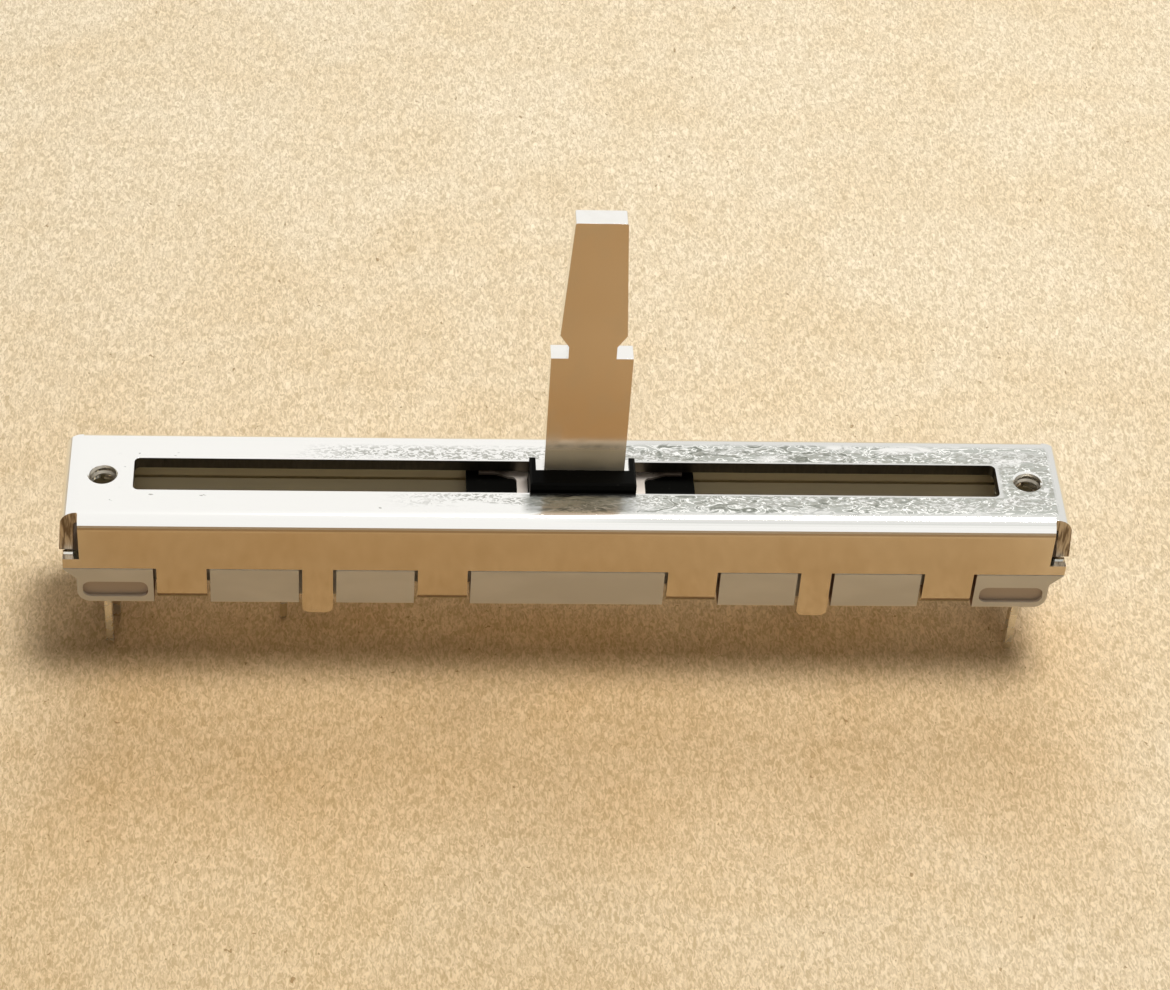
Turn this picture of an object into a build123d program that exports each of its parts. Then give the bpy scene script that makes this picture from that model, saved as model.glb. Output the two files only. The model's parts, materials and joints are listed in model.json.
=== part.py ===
import math
import os

from build123d import *

os.makedirs("parts", exist_ok=True)

# A dual slide potentiometer for panel mounting, in millimetres.
# X runs along the travel, -Y is the front long side, +Z points out of the panel.
# The origin is midway between the two panel screw holes, on the outer face of the cover.

# Travel and the slot it needs
travel = 44.5
rest_offset = 0.8
hub_length = 6.4
slot_end_gap = 0.7
slot_width = 2.75
slot_corner = 0.35
hub_side_gap = 0.15
slot_length = travel + hub_length + 2 * slot_end_gap

# Folded cover
sheet = 0.8
bend_inside = 0.2
bend_outside = bend_inside + sheet
cover_width = 8.0
wall_drop = 4.05
screw_to_slot = 1.85
screw_to_end = 2.3
screw_pitch = slot_length + 2 * screw_to_slot
cover_length = screw_pitch + 2 * screw_to_end
inner_half_width = cover_width / 2 - sheet
inner_half_length = cover_length / 2 - sheet
long_wall_half = cover_length / 2 - bend_outside
end_wall_gap = 0.85
end_wall_inset = 0.6
end_wall_lean = 4
end_wall_corner = 0.25
end_wall_bottom = -wall_drop + end_wall_gap
foot_height = 0.75
screw_radius = 0.8
collar_wall = 0.4
collar_drop = 0.3
hole_mouth = 0.12

# Tabs below the long walls
wide_tab = 3.0
wide_tab_to_end = 7.05
wide_tab_inner_x = 7.57
narrow_tab = 1.85
narrow_tab_x = 15.1
narrow_tab_drop = 0.7
narrow_tab_corner = 0.45
fold_reach = 1.9
tab_gap = 0.2
wide_tab_outer_x = cover_length / 2 - wide_tab_to_end
wide_tab_places = (-wide_tab_outer_x, -wide_tab_inner_x, wide_tab_inner_x, wide_tab_outer_x)
narrow_tab_places = (-narrow_tab_x, narrow_tab_x)

# Moulded base
base_height = 2.95
base_top = -wall_drop
base_bottom = base_top - base_height
flange_edge = 0.1
block_setback = 0.75
block_corner = 0.8
block_half = cover_length / 2 - block_setback
seam_chamfer = 0.1
block_edge = 0.15
recess_depth = 0.25
recess_rim = 0.55
recess_drop = 1.15
recess_side = 0.35
recess_corner = 0.5
lip = 0.3
lip_height = 0.75
fit_gap = 0.05

# Track board
board_thickness = 0.8
board_side_gap = 0.1
board_top = base_top + board_thickness
board_half_length = inner_half_length - fit_gap - lip - fit_gap
board_half_width = inner_half_width - board_side_gap
print_thickness = 0.04

# Terminals and the eyelets that clinch them to the board
strip = 0.45
pin_width = 0.8
pin_length = 4.3
pin_taper = 0.25
pin_to_end = 2.5
pin_to_side = 0.85
pin_jog = 0.6
pin_x = cover_length / 2 - pin_to_end
pin_y = cover_width / 2 - pin_to_side
pin_top_y = pin_y - pin_jog
pin_tip = base_bottom - pin_length
shoulder = 0.75
channel_gap = 0.08
eyelet_shaft = 0.3
eyelet_bore = 0.15
eyelet_head = 0.4
eyelet_rise = 0.2
eyelet_pin_gap = 0.03
eyelet_to_edge = 0.75
eyelet_x = pin_x - strip / 2 - eyelet_pin_gap - eyelet_head
eyelet_y = board_half_width - eyelet_to_edge
flange_width = 1.2
flange_gap = 0.55
collector_pin_y = -(eyelet_y - flange_width / 2 - flange_gap - pin_width / 2)
collector_pin_step = 0.3
collector_end_reach = 0.6
collector_mid_reach = 1.3
collector_end_x = -(pin_x - collector_pin_step)
collector_mid_x = -17.25
collector_pad_x = collector_end_x + collector_end_reach
collector_mid_pad_x = collector_mid_x + collector_mid_reach

# Prints on the board: two tracks a side between the middle and the eyelets
pad_half = 0.42
pad_gap = 0.03
print_lead = 0.5
track_gap = 0.25
middle_gap = 0.25
track_reach_y = eyelet_y - pad_half - pad_gap
track_width = (track_reach_y - middle_gap - track_gap) / 2
track_inner_y = middle_gap + track_width / 2
track_outer_y = track_reach_y - track_width / 2
track_half = -collector_pad_x - pad_half - pad_gap

# Carriage, lever and springs
contact_reach = 2.9
carriage_end_gap = 0.3
carriage_side_gap = 0.2
carriage_half = inner_half_length - travel / 2 - carriage_end_gap
carriage_half_width = inner_half_width - carriage_side_gap
collar_clearance = 0.25
plate_top = -sheet - collar_drop - collar_clearance
plate_thickness = 0.75
plate_bottom = plate_top - plate_thickness
plate_corner = 0.5
hub_rise = 0.6
hub_edge = 0.12
hub_half_width = slot_width / 2 - hub_side_gap
glide_gap = 0.1
glide_pad = (1.4, 0.9)
glide_pad_inset = 0.35
lever_thickness = 1.2
lever_front_y = 0.0
lever_height = 19.8
lever_tip_width = 3.0
lever_upper_width = 3.93
lever_upper_z = 11.38
lever_waist_width = 2.83
lever_waist_z = 10.5
lever_shoulder_z = 9.6
lever_blade_width = 4.85
lever_ear_width = 5.65
lever_ear_drop = 0.25
lever_seat = 0.2
lever_tip_corner = 0.15
blade_shift = 0.08
spring_sheet = 0.15
glide_strip = 0.65
glide_window_gap = 0.05
glide_rail = 0.6
glide_root = 0.5
glide_flare = 0.4
glide_rise_run = 0.8
glide_leg_reach = 6.2
wiper_sheet = 0.12
wiper_plate_length = 3.4
wiper_finger_length = 2.3
wiper_edge = 0.22
wiper_finger = 0.25
wiper_finger_split = 0.09
wiper_touch = 0.05
stake_radius = 0.35
stake_head = 0.55
stake_head_rise = 0.15
stake_spacing = 1.9


def slider_plane(z):
    """A level plane centred on the carriage where it rests."""
    return Plane(origin=(rest_offset, 0, z))


def upright_plane(x, y):
    """A plane facing the front, with local x along the travel and local y upwards."""
    return Plane(origin=(x, y, 0), x_dir=(1, 0, 0), z_dir=(0, -1, 0))


def finish(piece, name):
    """Give a finished piece its plain name and write it."""
    piece.label = name
    export_step(piece, f"parts/{name}.step")


def channel_line(inset, radius):
    """The folded channel in section, on its outside or inset by the sheet."""
    half_width = cover_width / 2 - inset
    FilletPolyline(
        (-half_width, -wall_drop),
        (-half_width, -inset),
        (half_width, -inset),
        (half_width, -wall_drop),
        radius=radius,
    )


# End walls of the cover, narrower than the channel and leaning out a little
with BuildPart() as end_walls:
    lean = math.tan(math.radians(end_wall_lean))
    for side in (-1, 1):
        with BuildSketch(Plane.XZ):
            with BuildLine():
                FilletPolyline(
                    (side * long_wall_half, 0),
                    (side * cover_length / 2, 0),
                    (side * (cover_length / 2 - end_wall_bottom * lean), end_wall_bottom),
                    radius=bend_outside,
                )
                FilletPolyline(
                    (side * long_wall_half, -sheet),
                    (side * (inner_half_length + sheet * lean), -sheet),
                    (side * (inner_half_length - end_wall_bottom * lean), end_wall_bottom),
                    radius=bend_inside,
                )
                Line((side * long_wall_half, 0), (side * long_wall_half, -sheet))
                Line(
                    (side * (cover_length / 2 - end_wall_bottom * lean), end_wall_bottom),
                    (side * (inner_half_length - end_wall_bottom * lean), end_wall_bottom),
                )
            make_face()
        extrude(amount=cover_width / 2 - end_wall_inset, both=True)
    fillet(end_walls.edges().filter_by(Axis.X).group_by(Axis.Z)[0], radius=end_wall_corner)

    # Their upper corners follow the bends of the channel
    with BuildSketch(Plane.YZ):
        with BuildLine():
            channel_line(0, bend_outside)
            Line((-cover_width / 2, -wall_drop), (cover_width / 2, -wall_drop))
        make_face()
    extrude(amount=cover_length, both=True, mode=Mode.INTERSECT)


# Cover: one blank, folded down on four sides, with tabs that hold the base
with BuildPart() as cover:
    with BuildSketch(Plane.YZ):
        with BuildLine():
            channel_line(0, bend_outside)
            channel_line(sheet, bend_inside)
            Line((-cover_width / 2, -wall_drop), (-inner_half_width, -wall_drop))
            Line((cover_width / 2, -wall_drop), (inner_half_width, -wall_drop))
        make_face()
    extrude(amount=long_wall_half, both=True)
    add(end_walls.part)

    # Feet of the long walls, which step out below the end walls
    for x_side in (-1, 1):
        for y_side in (-1, 1):
            with BuildSketch(Plane.XY.offset(-wall_drop)):
                with Locations(
                    (
                        x_side * (cover_length / 2 - bend_outside / 2),
                        y_side * (cover_width / 2 - sheet / 2),
                    )
                ):
                    Rectangle(bend_outside, sheet)
            extrude(amount=foot_height)

    # Wide tabs run down and fold under the base
    for y_side in (-1, 1):
        for tab_x in wide_tab_places:
            with BuildSketch(Plane.YZ.offset(tab_x)):
                with BuildLine():
                    FilletPolyline(
                        (y_side * cover_width / 2, -wall_drop + sheet),
                        (y_side * cover_width / 2, base_bottom),
                        (y_side * (cover_width / 2 - fold_reach), base_bottom),
                        radius=bend_outside,
                    )
                    FilletPolyline(
                        (y_side * inner_half_width, -wall_drop + sheet),
                        (y_side * inner_half_width, base_bottom + sheet),
                        (y_side * (cover_width / 2 - fold_reach), base_bottom + sheet),
                        radius=bend_inside,
                    )
                    Line(
                        (y_side * cover_width / 2, -wall_drop + sheet),
                        (y_side * inner_half_width, -wall_drop + sheet),
                    )
                    Line(
                        (y_side * (cover_width / 2 - fold_reach), base_bottom),
                        (y_side * (cover_width / 2 - fold_reach), base_bottom + sheet),
                    )
                make_face()
            extrude(amount=wide_tab / 2, both=True)

    # Narrow tabs stay straight and reach below the base
    tab_root = -wall_drop + sheet
    tab_tip = base_bottom - narrow_tab_drop
    for y_side in (-1, 1):
        with BuildSketch(upright_plane(0, y_side * (cover_width - sheet) / 2)):
            for tab_x in narrow_tab_places:
                with Locations((tab_x, (tab_root + tab_tip) / 2)):
                    Rectangle(narrow_tab, tab_root - tab_tip)
        extrude(amount=sheet / 2, both=True)
    tips = cover.edges().filter_by(Axis.Y).group_by(Axis.Z)[0]
    fillet(tips, radius=narrow_tab_corner)

    # Travel slot and the two tapped collars
    with BuildSketch(Plane.XY):
        RectangleRounded(slot_length, slot_width, slot_corner)
    extrude(amount=-sheet, mode=Mode.SUBTRACT)
    with BuildSketch(Plane.XY.offset(-sheet)):
        with Locations((-screw_pitch / 2, 0), (screw_pitch / 2, 0)):
            Circle(screw_radius + collar_wall)
    extrude(amount=-collar_drop)
    with BuildSketch(Plane.XY):
        with Locations((-screw_pitch / 2, 0), (screw_pitch / 2, 0)):
            Circle(screw_radius)
    extrude(amount=-(sheet + collar_drop), mode=Mode.SUBTRACT)
    with BuildSketch(Plane.XY):
        with Locations((-screw_pitch / 2, 0), (screw_pitch / 2, 0)):
            Circle(screw_radius + hole_mouth)
    extrude(amount=-hole_mouth, taper=45, mode=Mode.SUBTRACT)
finish(cover.part, "cover")


# Places where a strip leaves the board and goes down through the base:
# name, pin x and y, y of the strip under the board, eyelet x and y
terminal_places = [
    ("terminal_front_left", -pin_x, -pin_y, -pin_top_y, -eyelet_x, -eyelet_y),
    ("terminal_front_right", pin_x, -pin_y, -pin_top_y, eyelet_x, -eyelet_y),
    ("terminal_rear_left", -pin_x, pin_y, pin_top_y, -eyelet_x, eyelet_y),
    ("terminal_rear_right", pin_x, pin_y, pin_top_y, eyelet_x, eyelet_y),
    (
        "collector_terminal_end",
        collector_end_x,
        collector_pin_y,
        collector_pin_y,
        collector_pad_x,
        track_inner_y,
    ),
    (
        "collector_terminal_mid",
        collector_mid_x,
        collector_pin_y,
        collector_pin_y,
        collector_mid_pad_x,
        -eyelet_y,
    ),
]
eyelet_places = [(place[4], place[5]) for place in terminal_places]


def flange_corners(pin_at_x, top_y, hole_x, hole_y):
    """Lowest and highest corner of the strip's flat under the board."""
    towards = 1 if hole_x > pin_at_x else -1
    x_ends = sorted((pin_at_x - towards * strip / 2, hole_x + towards * flange_width / 2))
    y_low = min(top_y - pin_width / 2, hole_y - flange_width / 2)
    y_high = max(top_y + pin_width / 2, hole_y + flange_width / 2)
    return x_ends[0], y_low, x_ends[1], y_high


# Base: moulded block under the board, with recesses for the tabs
with BuildPart() as base:
    with BuildSketch(Plane.XZ):
        with BuildLine():
            Polyline(
                (-cover_length / 2, base_top),
                (cover_length / 2, base_top),
                (cover_length / 2, base_top - flange_edge),
                (block_half, base_top - flange_edge - block_setback),
                (block_half, base_bottom),
                (-block_half, base_bottom),
                (-block_half, base_top - flange_edge - block_setback),
                (-cover_length / 2, base_top - flange_edge),
                close=True,
            )
        make_face()
        fillet(vertices().group_by(Axis.Y)[0], radius=block_corner)
    extrude(amount=cover_width / 2, both=True)
    seam_edges = base.edges().filter_by(Axis.X).group_by(Axis.Z)[-1]
    chamfer(seam_edges, length=seam_chamfer)

    # Lips that locate the board inside the end walls
    with BuildSketch(Plane.XY.offset(base_top)):
        for side in (-1, 1):
            with Locations((side * (inner_half_length - fit_gap - lip / 2), 0)):
                Rectangle(lip, 2 * board_half_width)
    extrude(amount=lip_height)

    # Recesses for the folded tabs, with a relieved edge inside the fold
    for tab_x in wide_tab_places:
        with BuildSketch(Plane.YZ.offset(tab_x)):
            for y_side in (-1, 1):
                with BuildLine():
                    Polyline(
                        (y_side * (cover_width / 2 + sheet), base_top),
                        (y_side * (inner_half_width - fit_gap), base_top),
                        (y_side * (inner_half_width - fit_gap), base_bottom + sheet + bend_outside),
                        (y_side * (inner_half_width - 2 * bend_inside), base_bottom + sheet),
                        (y_side * (cover_width / 2 - fold_reach - tab_gap), base_bottom + sheet),
                        (y_side * (cover_width / 2 - fold_reach - tab_gap), base_bottom - sheet),
                        (y_side * (cover_width / 2 + sheet), base_bottom - sheet),
                        close=True,
                    )
                make_face()
        extrude(amount=wide_tab / 2 + tab_gap, both=True, mode=Mode.SUBTRACT)

    # Straight recesses for the narrow tabs
    with BuildSketch(Plane.XY.offset(base_top)):
        with GridLocations(2 * narrow_tab_x, cover_width, 2, 2):
            Rectangle(narrow_tab + 2 * tab_gap, 2 * (sheet + fit_gap))
    extrude(amount=-base_height, mode=Mode.SUBTRACT)

    # Eased edges round the outer faces of the blocks
    faces_by_side = base.faces().filter_by(Axis.Y).group_by(Axis.Y)
    outer_edges = faces_by_side[0].edges() + faces_by_side[-1].edges()
    chamfer(outer_edges.filter_by(Axis.X).group_by(Axis.Z)[0], length=block_edge)

    # Shallow panels in the faces of the end blocks
    panel_in = wide_tab_outer_x + wide_tab / 2 + tab_gap + recess_side
    panel_out = block_half - recess_side
    panel_low = base_bottom + recess_rim
    panel_high = base_top - recess_drop
    for y_side in (-1, 1):
        with BuildSketch(upright_plane(0, y_side * cover_width / 2)):
            for x_side in (-1, 1):
                with Locations((x_side * (panel_in + panel_out) / 2, (panel_low + panel_high) / 2)):
                    RectangleRounded(panel_out - panel_in, panel_high - panel_low, recess_corner)
        extrude(amount=y_side * recess_depth, mode=Mode.SUBTRACT)

    # Pockets for the strips under the board
    with BuildSketch(Plane.XY.offset(base_top)):
        for name, pin_at_x, pin_at_y, top_y, hole_x, hole_y in terminal_places:
            x_low, y_low, x_high, y_high = flange_corners(pin_at_x, top_y, hole_x, hole_y)
            with Locations(((x_low + x_high) / 2, (y_low + y_high) / 2)):
                Rectangle(x_high - x_low + 2 * channel_gap, y_high - y_low + 2 * channel_gap)
    extrude(amount=-strip, mode=Mode.SUBTRACT)

    # Room for the eyelet flares
    with BuildSketch(Plane.XY.offset(base_top)):
        with Locations(*eyelet_places):
            Rectangle(2 * (eyelet_head + channel_gap), 2 * (eyelet_head + channel_gap))
    extrude(amount=-(strip + eyelet_rise + channel_gap), mode=Mode.SUBTRACT)

    # Upper channels, wide enough for the jog of a pin
    with BuildSketch(Plane.XY.offset(base_top)):
        for name, pin_at_x, pin_at_y, top_y, hole_x, hole_y in terminal_places:
            reach_low = min(pin_at_y, top_y) - pin_width / 2 - channel_gap
            reach_high = max(pin_at_y, top_y) + pin_width / 2 + channel_gap
            with Locations((pin_at_x, (reach_low + reach_high) / 2)):
                Rectangle(strip + 2 * channel_gap, reach_high - reach_low)
    extrude(amount=-(strip + shoulder + pin_y - pin_top_y + channel_gap), mode=Mode.SUBTRACT)

    # Lower channels, a close fit for the pins
    with BuildSketch(Plane.XY.offset(base_top)):
        for name, pin_at_x, pin_at_y, top_y, hole_x, hole_y in terminal_places:
            with Locations((pin_at_x, pin_at_y)):
                Rectangle(strip + 2 * channel_gap, pin_width + 2 * channel_gap)
    extrude(amount=-base_height, mode=Mode.SUBTRACT)
finish(base.part, "base")


# Track board: phenolic laminate with a hole for each eyelet
with BuildPart() as track_board:
    with BuildSketch(Plane.XY.offset(base_top)):
        Rectangle(2 * board_half_length, 2 * board_half_width)
        with Locations(*eyelet_places):
            Circle(eyelet_shaft, mode=Mode.SUBTRACT)
    extrude(amount=board_thickness)
finish(track_board.part, "track_board")


def printed_track(y_place, left_end, right_end):
    """One printed strip along the board."""
    with BuildPart() as track:
        with BuildSketch(Plane.XY.offset(board_top)):
            with Locations(((left_end + right_end) / 2, y_place)):
                Rectangle(right_end - left_end, track_width)
        extrude(amount=print_thickness)
    return track.part


collector_stop = track_half - print_lead
finish(printed_track(-track_inner_y, -track_half, track_half), "resistive_track_front")
finish(printed_track(track_outer_y, -track_half, track_half), "resistive_track_rear")
finish(printed_track(-track_outer_y, -collector_stop, collector_stop), "collector_track_front")
finish(printed_track(track_inner_y, -track_half, collector_stop), "collector_track_rear")


# Silver print that joins each track end to its eyelet
lead_routes = [
    ((-track_half, -track_inner_y), (-eyelet_x, -eyelet_y)),
    ((track_half, -track_inner_y), (eyelet_x, -eyelet_y)),
    ((-track_half, track_outer_y), (-eyelet_x, eyelet_y)),
    ((track_half, track_outer_y), (eyelet_x, eyelet_y)),
    ((-track_half, track_inner_y), (collector_pad_x, track_inner_y)),
]
with BuildPart() as silver_leads:
    with BuildSketch(Plane.XY.offset(board_top)):
        for (start_x, start_y), (end_x, end_y) in lead_routes:
            outward = -1 if start_x < 0 else 1
            with Locations((start_x + outward * print_lead / 2, start_y)):
                Rectangle(print_lead, track_width)
            with BuildLine():
                Line((start_x + outward * print_lead / 2, start_y), (end_x, end_y))
            trace(line_width=print_lead)
            with Locations((end_x, end_y)):
                Rectangle(2 * pad_half, 2 * pad_half)
        with Locations((collector_mid_pad_x, -(eyelet_y + track_outer_y + track_width / 2) / 2)):
            Rectangle(print_lead, eyelet_y - track_outer_y - track_width / 2)
        with Locations((collector_mid_pad_x, -eyelet_y)):
            Rectangle(2 * pad_half, 2 * (eyelet_y - track_outer_y - track_width / 2))
        with Locations(*eyelet_places):
            Rectangle(2 * eyelet_shaft, 2 * eyelet_shaft, mode=Mode.SUBTRACT)
    extrude(amount=print_thickness)
    for y_place, left_end, right_end in (
        (-track_inner_y, -track_half, track_half),
        (track_outer_y, -track_half, track_half),
        (track_inner_y, -track_half, collector_stop),
        (-track_outer_y, -collector_stop, collector_stop),
    ):
        with BuildSketch(Plane.XY.offset(board_top)):
            with Locations(((left_end + right_end) / 2, y_place)):
                Rectangle(right_end - left_end, track_width)
        extrude(amount=print_thickness, mode=Mode.SUBTRACT)
finish(silver_leads.part, "silver_leads")


# Eyelets: headed above the print, flared below the strip
with BuildPart() as eyelets:
    head_seat = board_top + print_thickness
    flare_seat = base_top - strip
    for hole_x, hole_y in eyelet_places:
        with BuildSketch(upright_plane(hole_x, hole_y)):
            with BuildLine():
                Polyline(
                    (eyelet_bore, head_seat + eyelet_rise),
                    (eyelet_head, head_seat),
                    (eyelet_shaft, head_seat),
                    (eyelet_shaft, flare_seat),
                    (eyelet_head, flare_seat),
                    (eyelet_bore, flare_seat - eyelet_rise),
                    close=True,
                )
            make_face()
        revolve(axis=Axis((hole_x, hole_y, 0), (0, 0, 1)))
finish(eyelets.part, "eyelets")


# Terminals: a flat under the board, bent down into a pin that jogs towards the side
for name, pin_at_x, pin_at_y, top_y, hole_x, hole_y in terminal_places:
    x_low, y_low, x_high, y_high = flange_corners(pin_at_x, top_y, hole_x, hole_y)
    jog_top = base_top - strip - shoulder
    jog = abs(pin_at_y - top_y)
    with BuildPart() as terminal:
        with BuildSketch(Plane.XY.offset(base_top)):
            with Locations(((x_low + x_high) / 2, (y_low + y_high) / 2)):
                Rectangle(x_high - x_low, y_high - y_low)
            with Locations((hole_x, hole_y)):
                Circle(eyelet_shaft, mode=Mode.SUBTRACT)
        extrude(amount=-strip)
        with BuildSketch(Plane.YZ.offset(pin_at_x)):
            half = pin_width / 2
            with BuildLine():
                if jog > 0:
                    Polyline(
                        (top_y - half, base_top),
                        (top_y + half, base_top),
                        (top_y + half, jog_top),
                        (pin_at_y + half, jog_top - jog),
                        (pin_at_y + half, pin_tip + pin_taper),
                        (pin_at_y + half - pin_taper, pin_tip),
                        (pin_at_y - half + pin_taper, pin_tip),
                        (pin_at_y - half, pin_tip + pin_taper),
                        (pin_at_y - half, jog_top - jog),
                        (top_y - half, jog_top),
                        close=True,
                    )
                else:
                    Polyline(
                        (top_y - half, base_top),
                        (top_y + half, base_top),
                        (pin_at_y + half, pin_tip + pin_taper),
                        (pin_at_y + half - pin_taper, pin_tip),
                        (pin_at_y - half + pin_taper, pin_tip),
                        (pin_at_y - half, pin_tip + pin_taper),
                        close=True,
                    )
            make_face()
        extrude(amount=strip / 2, both=True)
    finish(terminal.part, name)


# Carriage: black moulding that slides under the cover, its hub filling the slot
ear_top = hub_rise - lever_ear_drop
lever_bottom = plate_bottom + lever_seat
wiper_y = (track_inner_y + track_outer_y) / 2
wiper_width = track_outer_y - track_inner_y + track_width + 2 * wiper_edge
wiper_plate_x = contact_reach - wiper_finger_length - wiper_plate_length / 2
stake_steps = (wiper_plate_x - stake_spacing / 2, wiper_plate_x + stake_spacing / 2)
with BuildPart() as carriage:
    with BuildSketch(slider_plane(plate_bottom)):
        RectangleRounded(2 * carriage_half, 2 * carriage_half_width, plate_corner)
    extrude(amount=plate_thickness)
    with BuildSketch(slider_plane(plate_top)):
        Rectangle(hub_length, 2 * hub_half_width)
    extrude(amount=hub_rise - plate_top)
    hub_top_edges = carriage.edges().group_by(Axis.Z)[-1]
    chamfer(hub_top_edges, length=hub_edge)

    # Glide pads under the corners of the cover
    with BuildSketch(slider_plane(plate_top)):
        with GridLocations(
            2 * (carriage_half - glide_pad_inset) - glide_pad[0],
            2 * carriage_half_width - glide_pad[1] - glide_pad_inset,
            2,
            2,
        ):
            Rectangle(glide_pad[0], glide_pad[1])
    extrude(amount=-sheet - glide_gap - plate_top)

    # Pocket that seats the lever, open at the back of the hub
    with BuildSketch(upright_plane(rest_offset, lever_front_y)):
        with Locations((0, (hub_rise + plate_top) / 2)):
            Rectangle(lever_ear_width, hub_rise - plate_top)
    extrude(amount=lever_front_y - slot_width / 2, mode=Mode.SUBTRACT)
    with BuildSketch(upright_plane(rest_offset, lever_front_y)):
        with Locations((0, (plate_top + lever_bottom) / 2)):
            Rectangle(lever_ear_width, plate_top - lever_bottom)
    extrude(amount=-lever_thickness, mode=Mode.SUBTRACT)

    # Stakes that hold the two wipers below the plate
    stake_places = [(-step, wiper_y) for step in stake_steps]
    stake_places += [(step, -wiper_y) for step in stake_steps]
    with BuildSketch(slider_plane(plate_bottom)):
        with Locations(*stake_places):
            Circle(stake_radius)
    extrude(amount=-(wiper_sheet + stake_head_rise))
    with BuildSketch(slider_plane(plate_bottom - wiper_sheet)):
        with Locations(*stake_places):
            Circle(stake_head)
    extrude(amount=-stake_head_rise)
finish(carriage.part, "carriage")


# Lever: one stamped blade, eared at the foot, waisted where a knob clips on
with BuildPart() as lever:
    with BuildSketch(upright_plane(rest_offset, lever_front_y)):
        with Locations((0, (ear_top + lever_bottom) / 2)):
            Rectangle(lever_ear_width, ear_top - lever_bottom)
        with BuildLine():
            Polyline(
                (blade_shift - lever_blade_width / 2, lever_bottom),
                (blade_shift - lever_blade_width / 2, lever_shoulder_z),
                (blade_shift - lever_waist_width / 2, lever_shoulder_z),
                (blade_shift - lever_waist_width / 2, lever_waist_z),
                (blade_shift - lever_upper_width / 2, lever_upper_z),
                (blade_shift - lever_tip_width / 2, lever_height),
                (blade_shift + lever_tip_width / 2, lever_height),
                (blade_shift + lever_upper_width / 2, lever_upper_z),
                (blade_shift + lever_waist_width / 2, lever_waist_z),
                (blade_shift + lever_waist_width / 2, lever_shoulder_z),
                (blade_shift + lever_blade_width / 2, lever_shoulder_z),
                (blade_shift + lever_blade_width / 2, lever_bottom),
                close=True,
            )
        make_face()
        fillet(vertices().group_by(Axis.Y)[-1], radius=lever_tip_corner)
    extrude(amount=-lever_thickness)
finish(lever.part, "lever")


# Glide spring: a frame round the hub with four legs that rise to the cover
glide_window_half = hub_length / 2 + glide_window_gap
glide_half = glide_window_half + glide_strip
glide_inner_y = hub_half_width + glide_window_gap
glide_outer_y = glide_inner_y + glide_rail
glide_root_x = glide_half + glide_root
glide_level = plate_top + spring_sheet / 2
crest = -sheet - glide_gap - spring_sheet / 2
with BuildPart() as glide_spring:
    with BuildSketch(slider_plane(plate_top)):
        Rectangle(2 * glide_root_x, 2 * glide_outer_y)
        Rectangle(2 * glide_window_half, 2 * glide_inner_y, mode=Mode.SUBTRACT)
        with GridLocations(2 * glide_root_x, 0, 2, 1):
            RectangleRounded(2 * glide_root, 2 * glide_inner_y, glide_flare, mode=Mode.SUBTRACT)
    extrude(amount=spring_sheet)
    for y_side in (-1, 1):
        with BuildSketch(upright_plane(rest_offset, y_side * (glide_inner_y + glide_rail / 2))):
            for x_side in (-1, 1):
                with BuildLine():
                    Polyline(
                        (x_side * glide_half, glide_level),
                        (x_side * glide_root_x, glide_level),
                        (x_side * (glide_root_x + glide_rise_run), crest),
                        (x_side * glide_leg_reach, crest),
                    )
                trace(line_width=spring_sheet)
        extrude(amount=glide_rail / 2, both=True)
finish(glide_spring.part, "glide_spring")


# Wipers: a staked plate with two pairs of sprung fingers, one pair on each track
def wiper(y_side, x_side):
    """A wiper on one side of the carriage, its fingers pointing along x_side."""
    root_x = x_side * (contact_reach - wiper_finger_length)
    tip_x = x_side * contact_reach
    plate_z = plate_bottom - wiper_sheet / 2
    touch_z = board_top + print_thickness + wiper_touch + wiper_sheet / 2
    with BuildPart() as spring:
        with BuildSketch(slider_plane(plate_bottom)):
            with Locations((x_side * wiper_plate_x, y_side * wiper_y)):
                Rectangle(wiper_plate_length, wiper_width)
            with Locations(*[(x_side * step, y_side * wiper_y) for step in stake_steps]):
                Circle(stake_radius, mode=Mode.SUBTRACT)
        extrude(amount=-wiper_sheet)
        for track_y in (track_inner_y, track_outer_y):
            for split in (-1, 1):
                finger_y = y_side * track_y + split * (wiper_finger + wiper_finger_split) / 2
                with BuildSketch(upright_plane(rest_offset, finger_y)):
                    with BuildLine():
                        Polyline(
                            (root_x - x_side * wiper_finger, plate_z),
                            (root_x + x_side * wiper_finger, plate_z),
                            (tip_x, touch_z),
                            (tip_x + x_side * wiper_finger, touch_z + wiper_finger),
                        )
                    trace(line_width=wiper_sheet)
                extrude(amount=wiper_finger / 2, both=True)
    return spring.part


finish(wiper(-1, 1), "wiper_front")
finish(wiper(1, -1), "wiper_rear")
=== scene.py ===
"""Looks of a dual slide potentiometer with a folded bright metal cover, on a pale floor."""

import json
import math

import bmesh
import bpy
from mathutils import Matrix, Vector


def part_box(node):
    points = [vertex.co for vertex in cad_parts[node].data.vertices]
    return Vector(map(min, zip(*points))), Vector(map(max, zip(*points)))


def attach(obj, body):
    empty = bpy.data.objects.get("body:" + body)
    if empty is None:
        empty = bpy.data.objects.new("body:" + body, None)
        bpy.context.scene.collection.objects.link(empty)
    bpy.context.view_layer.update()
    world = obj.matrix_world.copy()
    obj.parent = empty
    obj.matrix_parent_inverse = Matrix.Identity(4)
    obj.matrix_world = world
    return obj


MM = 0.001

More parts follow.
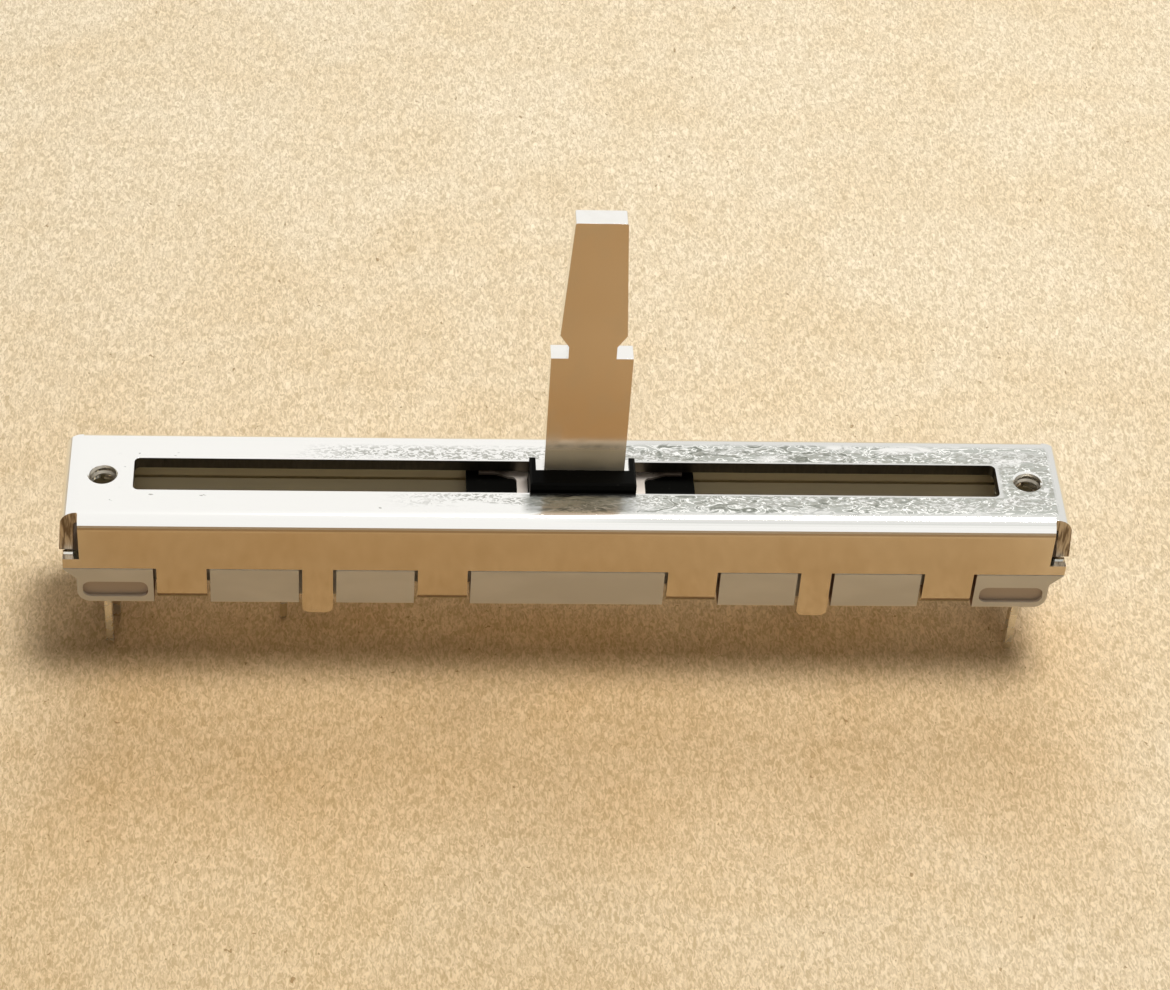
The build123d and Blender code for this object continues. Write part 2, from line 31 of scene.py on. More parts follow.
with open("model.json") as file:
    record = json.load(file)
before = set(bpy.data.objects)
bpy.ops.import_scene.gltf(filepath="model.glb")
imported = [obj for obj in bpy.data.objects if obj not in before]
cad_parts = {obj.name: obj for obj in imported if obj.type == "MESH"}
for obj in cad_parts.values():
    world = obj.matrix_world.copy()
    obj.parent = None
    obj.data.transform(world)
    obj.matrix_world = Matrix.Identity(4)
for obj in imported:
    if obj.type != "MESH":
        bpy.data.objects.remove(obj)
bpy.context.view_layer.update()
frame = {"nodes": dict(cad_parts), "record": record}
nodes = frame["nodes"]

# Places read from the frame, in metres
cover_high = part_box("cover")[1]
base_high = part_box("base")[1]
carriage_low, carriage_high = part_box("carriage")
pin_tip_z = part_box("terminal_front_left")[0].z
screws = next(m for m in frame["record"]["mounts"] if m["name"] == "panel_screws")
screw_pitch = screws["dims"]["spacing_x_mm"] * MM
screw_radius = screws["dims"]["hole_r_mm"] * MM

# The sheet of the cover and the slot in it
SHEET = 0.8 * MM
BEND_OUTSIDE = 1.0 * MM
SLOT_HALF_WIDTH = 1.375 * MM
FLAT_HALF_WIDTH = cover_high.y - BEND_OUTSIDE
LONG_WALL_END = base_high.x - BEND_OUTSIDE
SLOT_SIDE_REACH = 27 * MM
FACE_SLACK = 0.01 * MM

# Places where the cover's look changes, each from where the change starts to where it is full
PAST_SLOT = (26.2 * MM, 26.5 * MM)
FILM_START = (-2 * MM, 7 * MM)
SPECKS_END = (25 * MM, 17 * MM)
RUBBED_START = (-18 * MM, -11 * MM)
RUBBED_OUTSIDE = (2.9 * MM, 2.2 * MM)
# Before the hub: where the grey film spreads and where the painted dark reflection of the hub lies
BEFORE_HUB_LEFT = (-3.1 * MM, -2.3 * MM)
BEFORE_HUB_RIGHT = (4.4 * MM, 3.2 * MM)
BEFORE_HUB_FRONT = (-1.2 * MM, -1.4 * MM)
FRONT_WALL = (-3.35 * MM, -3.45 * MM)
INNER_FACES = (-1.6 * MM, -2.6 * MM)

# In front of the slot the rubbing starts this much farther to the right
RUBBED_FRONT_LAG = 6 * MM

# Places where the looks of the lever, the glide spring and the base change
LEVER_FOOT = (2.6 * MM, 2.0 * MM)
SPRING_LEGS = (4.1 * MM, 4.9 * MM)
SUNK_BEHIND = (3.90 * MM, 3.80 * MM)
SUNK_BEYOND = (25 * MM, 25.2 * MM)
GAP_INSIDE = (28.6 * MM, 28.4 * MM)
RIM_BELOW = (-6.72 * MM, -6.90 * MM)

# Thread in the two tapped holes
THREAD_PITCH = 0.4 * MM
THREAD_DEPTH = 0.11 * MM
THREAD_ROOT = 0.18 * MM
THREAD_CREST = 0.025 * MM
THREAD_LENGTH = 1.1 * MM
THREAD_STEPS = 40
THREAD_SUNK = 0.01 * MM
THREAD_TOP = 0.25 * THREAD_PITCH + 0.08 * MM

# Turns that the thread leaves plain, and over which its ridge rises and sinks at its ends
TURNS_PLAIN = 0.5
TURNS_RISING = 0.4
TURNS_SINKING = 0.25

# Small rounded edges: their widths in metres and how they are made
SHEARED_EDGE = 0.045 * MM
MOULDED_EDGE = 0.05 * MM
STRIP_EDGE = 0.03 * MM
EDGE_SEGMENTS = 2
EDGE_ANGLE = math.radians(35)
WELD_WITHIN = 0.0002 * MM

# Camera: the photograph's place, aim and lens
PHOTO_WIDTH = 1170
FOCAL_PIXELS = 3370
SENSOR_MM = 36.0
CAMERA_DISTANCE = 203.6 * MM
CAMERA_ELEVATION = math.radians(43.58)
CAMERA_AZIMUTH = math.radians(5.11)
CAMERA_ROLL = math.radians(4.04)
CENTRE_OFFSET_X = -15.9
CENTRE_OFFSET_Y = -17.6

# Light: dim from all round, fill over the camera, a window behind, one lamp overhead
SKY_FILL = 0.03
SKY_SEEN = 1.0
SKY_TINT = (1.0, 0.99, 0.97, 1.0)
FILL_TINT = (1.0, 0.90, 0.76, 1.0)
SKY_PATCHES = (
    ((0.0, -0.629, 0.777), 0.93, 0.985, 1.8),
    ((0.10, 0.74, 0.665), 0.965, 0.992, 4.6),
)
KEY_PLACE = (0.095, 0.065, 0.415)
KEY_SIZE = 0.14
KEY_POWER = 1.52
KEY_TINT = (1.0, 0.98, 0.95)

# Floor: its size, its two colours, the far one paler as a painted sheen, and the places between
# which it and its painted shadow change
FLOOR_SIZE = 3.0
FLOOR_NEAR = (0.79, 0.64, 0.42)
FLOOR_FAR = (0.90, 0.81, 0.63)
FAR_TO_NEAR = (55 * MM, -30 * MM)
LEFT_TO_RIGHT = (-10 * MM, 30 * MM)
# Painted shadow in front of the object, between these places
SHADOW_BACK = (4 * MM, -2 * MM)
SHADOW_FRONT = (-26 * MM, -12 * MM)
SHADOW_SIDES = (38 * MM, 26 * MM)


class Look:
    """One node material, built up from noises and masks in the row frame, in metres."""

    def __init__(self, name, color, roughness, metallic=0.0):
        self.material = bpy.data.materials.new(name)
        self.material.use_nodes = True
        self.tree = self.material.node_tree
        self.surface = self.tree.nodes["Principled BSDF"]
        self.surface.inputs["Base Color"].default_value = (*color, 1.0)
        self.surface.inputs["Roughness"].default_value = roughness
        self.surface.inputs["Metallic"].default_value = metallic
        self.place = self.add("ShaderNodeTexCoord").outputs["Object"]

    def add(self, kind, **settings):
        made = self.tree.nodes.new(kind)
        for key, value in settings.items():
            setattr(made, key, value)
        return made

    def feed(self, socket, value):
        """Link a socket, or set a plain number or colour on it."""
        if isinstance(value, bpy.types.NodeSocket):
            self.tree.links.new(value, socket)
        else:
            socket.default_value = value

    def math(self, operation, first, second=0.0):
        made = self.add("ShaderNodeMath", operation=operation, use_clamp=False)
        self.feed(made.inputs[0], first)
        self.feed(made.inputs[1], second)
        return made.outputs[0]

    def product(self, first, *others):
        """Masks and numbers multiplied together."""
        result = first
        for other in others:
            result = self.math("MULTIPLY", result, other)
        return result

    def axis(self, letter):
        """One coordinate of the point that is shaded."""
        split = self.add("ShaderNodeSeparateXYZ")
        self.feed(split.inputs[0], self.place)
        return split.outputs[letter]

    def facing(self, letter):
        """How far the surface faces along one axis, from -1 to 1."""
        split = self.add("ShaderNodeSeparateXYZ")
        self.feed(split.inputs[0], self.add("ShaderNodeNewGeometry").outputs["Normal"])
        return split.outputs[letter]

    def fade(self, value, low, high):
        """0 at low, 1 at high, smooth between them."""
        made = self.add("ShaderNodeMapRange", interpolation_type="SMOOTHSTEP")
        self.feed(made.inputs["Value"], value)
        made.inputs["From Min"].default_value = low
        made.inputs["From Max"].default_value = high
        return made.outputs[0]

    def noise(self, size, stretch=(1, 1, 1), detail=3.0, distortion=0.0):
        """Noise whose features measure about size, in metres, times stretch along each axis."""
        mapping = self.add("ShaderNodeMapping")
        self.feed(mapping.inputs["Vector"], self.place)
        mapping.inputs["Scale"].default_value = [1 / (size * s) for s in stretch]
        made = self.add("ShaderNodeTexNoise")
        self.feed(made.inputs["Vector"], mapping.outputs[0])
        made.inputs["Scale"].default_value = 1.0
        made.inputs["Detail"].default_value = detail
        made.inputs["Distortion"].default_value = distortion
        return made.outputs["Fac"]

    def mix(self, share, first, second):
        """A colour that goes from first to second."""
        made = self.add("ShaderNodeMix", data_type="RGBA")
        self.feed(made.inputs["Factor"], share)
        for socket, value in ((made.inputs["A"], first), (made.inputs["B"], second)):
            is_socket = isinstance(value, bpy.types.NodeSocket)
            self.feed(socket, value if is_socket else (*value, 1.0))
        return made.outputs["Result"]

    def between(self, share, low, high):
        """A number that goes from low to high."""
        made = self.add("ShaderNodeMapRange")
        self.feed(made.inputs["Value"], share)
        made.inputs["To Min"].default_value = low
        made.inputs["To Max"].default_value = high
        return made.outputs[0]

    def bump(self, height, depth, strength=1.0, below=None):
        """A bump of that depth in metres, on top of an earlier one."""
        made = self.add("ShaderNodeBump")
        self.feed(made.inputs["Height"], height)
        made.inputs["Distance"].default_value = depth
        made.inputs["Strength"].default_value = strength
        if below is not None:
            self.feed(made.inputs["Normal"], below)
        return made.outputs["Normal"]

    def paint(self, color=None, roughness=None, normal=None):
        for name, value in (("Base Color", color), ("Roughness", roughness), ("Normal", normal)):
            if value is not None:
                self.feed(self.surface.inputs[name], value)
        return self.material


def plated_sheet():
    """Bright tin plate with scuffs on top that thicken to the right, a painted warm reflection of
    the floor on the front wall, a painted dark reflection line at the foot of its bend and a
    painted dark reflection of the hub before the lever.
    """
    bright = (0.92, 0.915, 0.89)
    painted_wall_reflection = (0.60, 0.51, 0.39)
    painted_bend_reflection = (0.36, 0.28, 0.20)
    film_grey = (0.46, 0.475, 0.44)
    fold_white = (0.95, 0.95, 0.92)
    speck_dark = (0.17, 0.18, 0.15)
    painted_hub_reflection = (0.10, 0.105, 0.09)
    rubbed_grey = (0.36, 0.36, 0.32)
    bend_grey = (0.54, 0.545, 0.52)
    inner_warm = (0.90, 0.84, 0.70)
    look = Look("plated_sheet", bright, 0.14, 1.0)
    upright = look.math("ABSOLUTE", look.facing("Z"))
    across = look.math("ABSOLUTE", look.axis("Y"))
    along = look.math("ABSOLUTE", look.axis("X"))

    # Where it can be worn: the flat top, a little off the bends and the slot's rim
    on_top = look.fade(look.facing("Z"), 0.97, 0.995)
    off_bend = look.fade(across, FLAT_HALF_WIDTH + 0.2 * MM, FLAT_HALF_WIDTH - 0.25 * MM)
    off_slot = look.fade(across, SLOT_HALF_WIDTH + 0.06 * MM, SLOT_HALF_WIDTH + 0.18 * MM)
    beyond_slot = look.fade(along, *PAST_SLOT)
    open_top = look.product(on_top, off_bend, look.math("MAXIMUM", off_slot, beyond_slot))

    # A grey film on the right half and before the lever, with bright and dark crinkles
    to_right = look.fade(look.axis("X"), *FILM_START)
    before_lever = look.product(look.fade(look.axis("Y"), *BEFORE_HUB_FRONT),
                                look.fade(look.axis("X"), *BEFORE_HUB_LEFT),
                                look.fade(look.axis("X"), *BEFORE_HUB_RIGHT))
    patches = look.fade(look.noise(1.3 * MM, (3.0, 1, 1), 4.0, 1.2), 0.33, 0.50)
    film = look.product(patches, look.math("MAXIMUM", to_right, before_lever), open_top)
    crinkle = look.noise(0.62 * MM, (2.2, 1, 1), 4.5, 1.8)
    folds = look.math("ABSOLUTE", look.math("SUBTRACT", crinkle, 0.5))
    bright_line = look.fade(folds, 0.045, 0.020)
    smoother_end = look.fade(look.axis("X"), *SPECKS_END)
    dark_speck = look.product(look.fade(crinkle, 0.46, 0.38), smoother_end, film)

    # Fine rubbed specks beside the slot left of the lever, and a few nicks everywhere
    before_slot = look.fade(look.axis("Y"), -0.5 * MM, -1.0 * MM)
    start = look.math("SUBTRACT", look.axis("X"), look.product(before_slot, RUBBED_FRONT_LAG))
    rubbed_from = look.product(look.fade(start, *RUBBED_START), look.fade(across, *RUBBED_OUTSIDE))
    grit = look.fade(look.noise(0.17 * MM, (2.0, 1, 1), 5.0, 1.0), 0.46, 0.56)
    streak = look.noise(1.1 * MM, (9, 1, 1), 3.0)
    streak = look.fade(look.math("ADD", streak, look.between(rubbed_from, 0.0, 0.12)), 0.42, 0.54)
    rubbed = look.product(rubbed_from, grit, streak)
    nicks = look.fade(look.noise(0.5 * MM, (1.6, 1, 1), 4.0), 0.70, 0.74)
    small = look.product(look.math("MAXIMUM", rubbed, nicks), open_top)

    # Colour: neutral, with a painted warm reflection of the floor on the front wall and a painted
    # dark reflection line at the foot of its bend
    front = look.fade(look.axis("Y"), *FRONT_WALL)
    on_wall = look.product(look.fade(upright, 0.50, 0.10), front)
    bend_foot = look.product(look.fade(upright, 0.08, 0.16), look.fade(upright, 0.46, 0.28), front)
    color = look.mix(on_wall, bright, painted_wall_reflection)
    color = look.mix(bend_foot, color, painted_bend_reflection)
    color = look.mix(film, color, film_grey)
    color = look.mix(look.product(bright_line, film), color, fold_white)
    color = look.mix(look.product(dark_speck, 0.9), color, speck_dark)
    # Painted dark reflection of the black hub on the scuffed top before the lever
    color = look.mix(look.product(before_lever, open_top, 0.55), color, painted_hub_reflection)
    color = look.mix(look.product(small, 0.8), color, rubbed_grey)

    # A paler film that runs on over the bends at the right, and warmer inner faces
    on_bend = look.product(look.fade(look.facing("Z"), 0.66, 0.84),
                           look.math("SUBTRACT", 1.0, open_top))
    color = look.mix(look.product(on_bend, to_right, 0.5), color, bend_grey)
    inward = look.product(look.facing("Y"), look.axis("Y"))
    color = look.mix(look.fade(inward, *INNER_FACES), color, inner_warm)
    rolling = look.noise(0.05 * MM, (60, 1, 1), 2.0)
    normal = look.bump(rolling, 0.002 * MM, 0.3)
    normal = look.bump(look.product(crinkle, film), 0.02 * MM, 0.4, normal)
    return look.paint(color, look.between(film, 0.12, 0.27), normal)


def sheared_edge():
    """The torn, dull face that a punch leaves through the sheet, streaked across the sheet."""
    look = Look("sheared_edge", (0.35, 0.30, 0.23), 0.42, 1.0)
    tear = look.noise(0.16 * MM, (1, 1, 9), 3.0, 0.4)
    shade = look.fade(tear, 0.36, 0.64)
    color = look.mix(shade, (0.15, 0.11, 0.075), (0.50, 0.42, 0.32))
    return look.paint(color, look.between(tear, 0.28, 0.55), look.bump(tear, 0.03 * MM, 0.8))


def slot_edge():
    """The punched face round the slot, painted dark as the shade inside the slot, and streaked
    across the sheet.
    """
    look = Look("slot_edge", (0.10, 0.085, 0.06), 0.35, 1.0)
    streaks = look.noise(0.12 * MM, (1, 1, 6), 4.0)
    color = look.mix(streaks, (0.06, 0.05, 0.035), (0.13, 0.11, 0.08))
    return look.paint(color, look.between(streaks, 0.28, 0.45))


def plated_lever():
    """Bright plate on the lever with fine lines, faintly smeared on the front, with a painted warm
    reflection of the floor on the front and a painted darker reflection at the foot.
    """
    bright = (0.90, 0.89, 0.86)
    painted_front_reflection = (0.56, 0.44, 0.315)
    smear_brown = (0.50, 0.43, 0.34)
    painted_foot_reflection = (0.47, 0.42, 0.32)
    look = Look("plated_lever", bright, 0.14, 1.0)
    on_front = look.fade(look.facing("Y"), -0.5, -0.9)
    lines = look.noise(0.06 * MM, (1, 1, 40), 2.0)
    cloud = look.fade(look.noise(1.6 * MM, (1, 1, 1.4), 3.0, 0.6), 0.46, 0.66)
    # Painted warm reflection of the floor on the front faces
    color = look.mix(on_front, bright, painted_front_reflection)
    smear = look.product(cloud, look.between(on_front, 0.05, 0.25))
    color = look.mix(smear, color, smear_brown)

    # A rougher foot just above the hub, with a painted darker reflection of the cover below
    foot = look.product(on_front, look.fade(look.axis("Z"), *LEVER_FOOT))
    color = look.mix(foot, color, painted_foot_reflection)
    roughness = look.math("ADD", look.between(cloud, 0.12, 0.19), look.between(foot, 0.0, 0.36))
    return look.paint(color, roughness, look.bump(lines, 0.002 * MM, 0.3))


def grey_moulding():
    """Warm grey resin with a fine matt skin, with painted shade in the sunk panels and on the gap
    sides beside the tabs, and a painted highlight along the low rim.
    """
    darker = (0.68, 0.645, 0.58)
    lighter = (0.74, 0.705, 0.64)
    painted_sunk_shade = (0.41, 0.315, 0.25)
    painted_gap_shade = (0.26, 0.13, 0.08)
    painted_rim_highlight = (0.80, 0.71, 0.58)
    look = Look("grey_moulding", (0.60, 0.55, 0.465), 0.48)
    grain = look.noise(0.12 * MM, (1, 1, 1), 3.0)
    clouds = look.fade(look.noise(2.5 * MM, (2, 1, 1), 3.0), 0.35, 0.65)
    color = look.mix(clouds, darker, lighter)
    across = look.math("ABSOLUTE", look.axis("Y"))
    along = look.math("ABSOLUTE", look.axis("X"))
    # Painted shade in the sunk end panels
    sunk = look.product(look.fade(across, *SUNK_BEHIND), look.fade(along, *SUNK_BEYOND))
    color = look.mix(look.product(sunk, 0.8), color, painted_sunk_shade)
    # Painted shade on the sides of the gaps beside the tabs
    gap_side = look.product(look.fade(look.math("ABSOLUTE", look.facing("X")), 0.6, 0.9),
                            look.fade(along, *GAP_INSIDE))
    color = look.mix(gap_side, color, painted_gap_shade)
    # Painted highlight along the low rim of the front and back faces
    low_rim = look.product(look.fade(look.axis("Z"), *RIM_BELOW),
                           look.fade(look.math("ABSOLUTE", look.facing("Y")), 0.3, 0.6))
    color = look.mix(look.product(low_rim, 0.7), color, painted_rim_highlight)
    look.surface.inputs["Specular IOR Level"].default_value = 0.3
    look.surface.inputs["Subsurface Weight"].default_value = 0.12
    look.surface.inputs["Subsurface Radius"].default_value = (0.6 * MM, 0.5 * MM, 0.4 * MM)
    look.surface.inputs["Subsurface Scale"].default_value = 1.0
    return look.paint(color, look.between(grain, 0.42, 0.56), look.bump(grain, 0.004 * MM, 0.5))


def black_moulding():
    """Black resin, nearly matt, with hair scratches along the travel."""
    black = (0.0035, 0.0035, 0.003)
    dust_grey = (0.020, 0.019, 0.016)
    look = Look("black_moulding", black, 0.4)
    hairs = look.noise(0.05 * MM, (25, 1, 1), 2.0)
    dust = look.fade(look.noise(0.3 * MM, (1, 1, 1), 4.0), 0.66, 0.76)
    color = look.mix(dust, black, dust_grey)
    look.surface.inputs["Specular IOR Level"].default_value = 0.03
    return look.paint(color, look.between(dust, 0.35, 0.55), look.bump(hairs, 0.002 * MM, 0.3))


def phenolic_laminate():
    """Olive brown laminate, its paper fibres along the board."""
    look = Look("phenolic_laminate", (0.68, 0.57, 0.37), 0.5)
    fibres = look.noise(0.18 * MM, (9, 1, 1), 4.0)
    clouds = look.noise(5 * MM, (2, 1, 1), 2.0)
    color = look.mix(fibres, (0.72, 0.64, 0.45), (0.82, 0.73, 0.52))
    color = look.mix(look.fade(clouds, 0.35, 0.65), color, (0.74, 0.66, 0.48))
    look.surface.inputs["Specular IOR Level"].default_value = 0.2
    return look.paint(color, look.between(fibres, 0.42, 0.56), look.bump(fibres, 0.004 * MM, 0.4))


def print_look(name, color, darker, roughness, metallic=0.0):
    """A screen-printed layer: speckled, with a soft mesh texture."""
    look = Look(name, color, roughness, metallic)
    speck = look.noise(0.09 * MM, (1, 1, 1), 3.0)
    shade = look.mix(look.fade(speck, 0.35, 0.65), darker, color)
    return look.paint(shade, look.between(speck, roughness - 0.06, roughness + 0.08),
                      look.bump(speck, 0.003 * MM, 0.5))


def strip_metal(name, color, roughness):
    """A stamped strip: draw lines down its length and slight tarnish."""
    look = Look(name, color, roughness, 1.0)
    lines = look.noise(0.05 * MM, (1, 1, 30), 2.0)
    tarnish = look.fade(look.noise(0.8 * MM, (1, 1, 1), 4.0), 0.45, 0.70)
    dull = tuple(c * 0.78 for c in color)
    shade = look.mix(tarnish, color, dull)
    return look.paint(shade, look.between(tarnish, roughness, roughness + 0.14),
                      look.bump(lines, 0.002 * MM, 0.35))


def glide_metal():
    """Spring strip, satin where it lies beside the hub, with painted shade making the legs dark
    where they run in under the cover.
    """
    satin = (0.86, 0.78, 0.71)
    dull = (0.20, 0.16, 0.13)
    look = Look("spring_steel", satin, 0.38, 0.6)
    rest_x = (carriage_low.x + carriage_high.x) / 2
    out = look.math("ABSOLUTE", look.math("SUBTRACT", look.axis("X"), rest_x))
    # Painted shade: the legs darken as they run in under the cover
    legs = look.fade(out, *SPRING_LEGS)
    return look.paint(look.mix(legs, satin, dull))


def dress(name, material, edge=None):
    """Give a CAD node its material and, where edge is set, small rounded edges."""
    piece = nodes[name]
    piece.data.materials.clear()
    piece.data.materials.append(material)
    if edge is not None:
        weld = piece.modifiers.new("weld", "WELD")
        weld.merge_threshold = WELD_WITHIN
        bevel = piece.modifiers.new("edges", "BEVEL")
        bevel.width = edge
        bevel.segments = EDGE_SEGMENTS
        bevel.limit_method = "ANGLE"
        bevel.angle_limit = EDGE_ANGLE
        bevel.use_clamp_overlap = True
        bevel.harden_normals = False
    for polygon in piece.data.polygons:
        polygon.use_smooth = False
    return piece


def give_faces(piece, material, chosen):
    """Use a second material on the faces that chosen(centre, normal) picks."""
    piece.data.materials.append(material)
    last = len(piece.data.materials) - 1
    for polygon in piece.data.polygons:
        if chosen(polygon.center, polygon.normal):
            polygon.material_index = last


def is_sheared_end(centre, normal):
    """The cut edges of the end walls, of the long walls and of the feet."""
    beyond = abs(centre.x) > LONG_WALL_END + FACE_SLACK
    end_wall_side = beyond and abs(normal.y) > 0.8 and abs(centre.y) < cover_high.y - 0.5 * MM
    low_edge = normal.z < -0.9 and centre.z < -SHEET * 2
    return end_wall_side or low_edge


def is_slot_side(centre, normal):
    """The punched faces of the slot."""
    inside = abs(centre.y) < SLOT_HALF_WIDTH + FACE_SLACK and centre.z > -SHEET
    return inside and abs(normal.z) < 0.5 and abs(centre.x) < SLOT_SIDE_REACH


def thread_ridge(centre_x, name):
    """One internal thread: a ridge that winds down inside a tapped hole."""
    turns = THREAD_LENGTH / THREAD_PITCH - TURNS_PLAIN
    count = round(turns * THREAD_STEPS)
    rising = THREAD_STEPS * TURNS_RISING
    sinking = THREAD_STEPS * TURNS_SINKING
    mesh = bpy.data.meshes.new(name)
    shape = bmesh.new()
    rings = []
    for step in range(count + 1):
        angle = 2 * math.pi * step / THREAD_STEPS
        z = -THREAD_TOP - THREAD_PITCH * step / THREAD_STEPS
        height = min(1.0, step / rising, (count - step) / sinking)
        crest = screw_radius - THREAD_DEPTH * height
        ring = []
        for radius, drop in (
            (screw_radius + THREAD_SUNK, THREAD_ROOT),
            (crest, THREAD_CREST),
            (crest, -THREAD_CREST),
            (screw_radius + THREAD_SUNK, -THREAD_ROOT),
        ):
            place = (centre_x + radius * math.cos(angle), radius * math.sin(angle), z + drop)
            ring.append(shape.verts.new(place))
        rings.append(ring)
    for first, second in zip(rings, rings[1:]):
        for side in range(4):
            around = (side + 1) % 4
            shape.faces.new((first[side], first[around], second[around], second[side]))
    shape.faces.new(rings[0])
    shape.faces.new(rings[-1])
    bmesh.ops.recalc_face_normals(shape, faces=shape.faces)
    shape.to_mesh(mesh)
    shape.free()
    ridge = bpy.data.objects.new(name, mesh)
    bpy.context.scene.collection.objects.link(ridge)
    return ridge


def make_floor():
    """A pale brown board of pressed fibres, paler towards the back as a painted sheen, with a
    painted shadow in front of the object, that also takes the cast shadow.
    """
    bpy.ops.mesh.primitive_plane_add(size=FLOOR_SIZE, location=(0, 0, pin_tip_z))
    floor = bpy.context.object
    floor.name = "floor"
    look = Look("pale_floor", FLOOR_NEAR, 0.7)
    look.surface.inputs["Specular IOR Level"].default_value = 0.1
    # Painted sheen: the floor pales towards the back, and also towards the right
    near = look.fade(look.axis("Y"), *FAR_TO_NEAR)
    left = look.between(look.fade(look.axis("X"), *LEFT_TO_RIGHT), 1.0, 0.5)
    color = look.mix(look.product(near, left), FLOOR_FAR, FLOOR_NEAR)

    # Fibres, clots, flecks, stains and the painted shadow in front, each a tint that multiplies
    # the colour
    fibres = look.fade(look.noise(0.20 * MM, (1, 2.4, 1), 6.0, 1.2), 0.31, 0.69)
    clots = look.fade(look.noise(0.8 * MM, (1, 1.5, 1), 6.0, 0.6), 0.28, 0.72)
    stains = look.fade(look.noise(9 * MM, (1.3, 1, 1), 3.0, 0.5), 0.35, 0.70)
    flecks = look.fade(look.noise(0.40 * MM, (1, 1.6, 1), 3.0, 0.5), 0.70, 0.74)
    # Painted shadow in front of and under the object
    painted_front_shadow = look.product(look.fade(look.axis("Y"), *SHADOW_BACK),
                               look.fade(look.axis("Y"), *SHADOW_FRONT),
                               look.fade(look.math("ABSOLUTE", look.axis("X")), *SHADOW_SIDES))
    for mask, without, within in (
        (fibres, (0.79, 0.74, 0.65), (1.16, 1.16, 1.18)),
        (clots, (0.95, 0.93, 0.90), (1.03, 1.03, 1.04)),
        (stains, (1.01, 1.01, 1.02), (0.97, 0.94, 0.90)),
        (flecks, (1.0, 1.0, 1.0), (0.60, 0.52, 0.42)),
        (painted_front_shadow, (1.0, 1.0, 1.0), (0.88, 0.79, 0.67)),
    ):
        layer = look.add("ShaderNodeVectorMath", operation="MULTIPLY")
        look.feed(layer.inputs[0], color)
        look.feed(layer.inputs[1], look.mix(mask, without, within))
        color = layer.outputs[0]
    floor.data.materials.append(look.paint(color, None, look.bump(fibres, 0.05 * MM, 0.5)))


def make_world():
    """Dim warm light with brighter patches, which camera and mirroring faces see as white."""
    world = bpy.data.worlds.new("studio")
    bpy.context.scene.world = world
    world.use_nodes = True
    tree = world.node_tree
    path = tree.nodes.new("ShaderNodeLightPath")

    def combine(operation, first, second):
        made = tree.nodes.new("ShaderNodeMath")
        made.operation = operation
        for socket, value in zip(made.inputs, (first, second)):
            if isinstance(value, bpy.types.NodeSocket):
                tree.links.new(value, socket)
            else:
                socket.default_value = value
        return made.outputs[0]

    # White for what the camera sees, itself or mirrored, before any matt surface
    seen = path.outputs["Is Camera Ray"]
    for ray in ("Is Glossy Ray", "Is Transmission Ray"):
        seen = combine("MAXIMUM", seen, path.outputs[ray])
    unscattered = combine("LESS_THAN", path.outputs["Diffuse Depth"], 0.5)
    seen = combine("MULTIPLY", seen, unscattered)

    # Brighter patches of the dim sky
    fill = SKY_FILL
    direction = tree.nodes.new("ShaderNodeTexCoord").outputs["Generated"]
    for side, edge, core, strength in SKY_PATCHES:
        towards = tree.nodes.new("ShaderNodeVectorMath")
        towards.operation = "DOT_PRODUCT"
        tree.links.new(direction, towards.inputs[0])
        towards.inputs[1].default_value = side
        patch = tree.nodes.new("ShaderNodeMapRange")
        patch.interpolation_type = "SMOOTHSTEP"
        patch.inputs["From Min"].default_value = edge
        patch.inputs["From Max"].default_value = core
        patch.inputs["To Max"].default_value = strength
        tree.links.new(towards.outputs["Value"], patch.inputs["Value"])
        fill = combine("ADD", patch.outputs[0], fill)

    level = tree.nodes.new("ShaderNodeMapRange")
    level.inputs["To Max"].default_value = SKY_SEEN
    tree.links.new(fill, level.inputs["To Min"])
    tree.links.new(seen, level.inputs["Value"])
    tint = tree.nodes.new("ShaderNodeMix")
    tint.data_type = "RGBA"
    tree.links.new(seen, tint.inputs["Factor"])
    tint.inputs["A"].default_value = FILL_TINT
    tint.inputs["B"].default_value = SKY_TINT
    background = tree.nodes["Background"]
    tree.links.new(tint.outputs["Result"], background.inputs["Color"])
    tree.links.new(level.outputs[0], background.inputs["Strength"])


def make_lamp(name, place, size, power, color):
    """A square lamp that points at the origin."""
    data = bpy.data.lights.new(name, "AREA")
    data.shape = "SQUARE"
    data.size = size
    data.energy = power
    data.color = color
    lamp = bpy.data.objects.new(name, data)
    bpy.context.scene.collection.objects.link(lamp)
    lamp.location = place
    lamp.rotation_euler = (-Vector(place)).to_track_quat("-Z", "Y").to_euler()


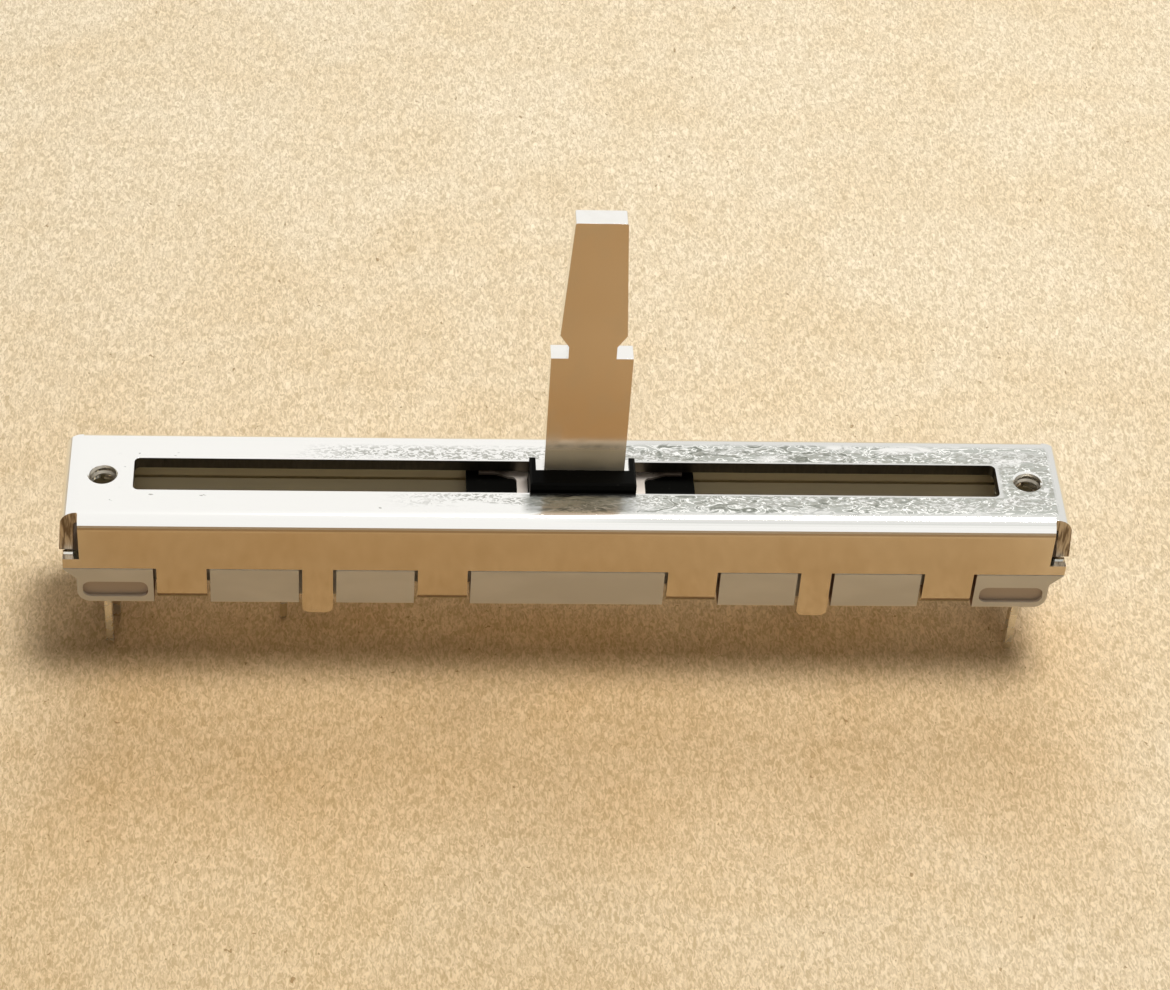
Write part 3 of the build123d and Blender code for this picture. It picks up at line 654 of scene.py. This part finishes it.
def make_camera():
    """The photograph's own view of the object."""
    forward = Vector((
        math.sin(CAMERA_AZIMUTH) * math.cos(CAMERA_ELEVATION),
        math.cos(CAMERA_AZIMUTH) * math.cos(CAMERA_ELEVATION),
        -math.sin(CAMERA_ELEVATION),
    ))
    level = Vector((math.cos(CAMERA_AZIMUTH), -math.sin(CAMERA_AZIMUTH), 0))
    upright = level.cross(forward)
    right = math.cos(CAMERA_ROLL) * level + math.sin(CAMERA_ROLL) * upright
    up = math.cos(CAMERA_ROLL) * upright - math.sin(CAMERA_ROLL) * level
    data = bpy.data.cameras.new("camera")
    data.sensor_fit = "HORIZONTAL"
    data.sensor_width = SENSOR_MM
    data.lens = FOCAL_PIXELS / PHOTO_WIDTH * SENSOR_MM
    data.shift_x = -CENTRE_OFFSET_X / PHOTO_WIDTH
    data.shift_y = CENTRE_OFFSET_Y / PHOTO_WIDTH
    data.clip_start = 0.01
    data.clip_end = 20
    camera = bpy.data.objects.new("camera", data)
    bpy.context.scene.collection.objects.link(camera)
    turn = Matrix((right, up, -forward)).transposed().to_4x4()
    camera.matrix_world = Matrix.Translation(-forward * CAMERA_DISTANCE) @ turn
    bpy.context.scene.camera = camera


# Pieces of the housing
cover = dress("cover", plated_sheet(), SHEARED_EDGE)
give_faces(cover, sheared_edge(), is_sheared_end)
give_faces(cover, slot_edge(), is_slot_side)
dress("base", grey_moulding(), MOULDED_EDGE)
dress("track_board", phenolic_laminate(), STRIP_EDGE)

carbon = print_look("carbon_print", (0.030, 0.028, 0.025), (0.018, 0.017, 0.015), 0.5)
collector = print_look("collector_print", (0.16, 0.14, 0.11), (0.10, 0.09, 0.07), 0.42)
silver = print_look("silver_print", (0.60, 0.58, 0.54), (0.42, 0.40, 0.36), 0.4, 0.8)
for side in ("front", "rear"):
    dress("resistive_track_" + side, carbon)
    dress("collector_track_" + side, collector)
dress("silver_leads", silver)

tinned = strip_metal("tinned_brass", (0.78, 0.75, 0.68), 0.22)
for name in nodes:
    if "terminal" in name:
        dress(name, tinned, STRIP_EDGE)
dress("eyelets", tinned)

# Pieces of the slider
dress("carriage", black_moulding(), MOULDED_EDGE)
dress("lever", plated_lever(), SHEARED_EDGE)
dress("glide_spring", glide_metal())
bronze = strip_metal("phosphor_bronze", (0.78, 0.55, 0.34), 0.2)
dress("wiper_front", bronze)
dress("wiper_rear", bronze)

# Threads in the tapped holes
cut_thread = strip_metal("cut_thread", (0.46, 0.42, 0.35), 0.28)
for side, name in ((-1, "thread_left"), (1, "thread_right")):
    ridge = thread_ridge(side * screw_pitch / 2, name)
    ridge.data.materials.append(cut_thread)
    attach(ridge, "housing")

make_floor()
make_world()
make_lamp("key", KEY_PLACE, KEY_SIZE, KEY_POWER, KEY_TINT)
make_camera()
bpy.context.scene.view_settings.view_transform = "Standard"
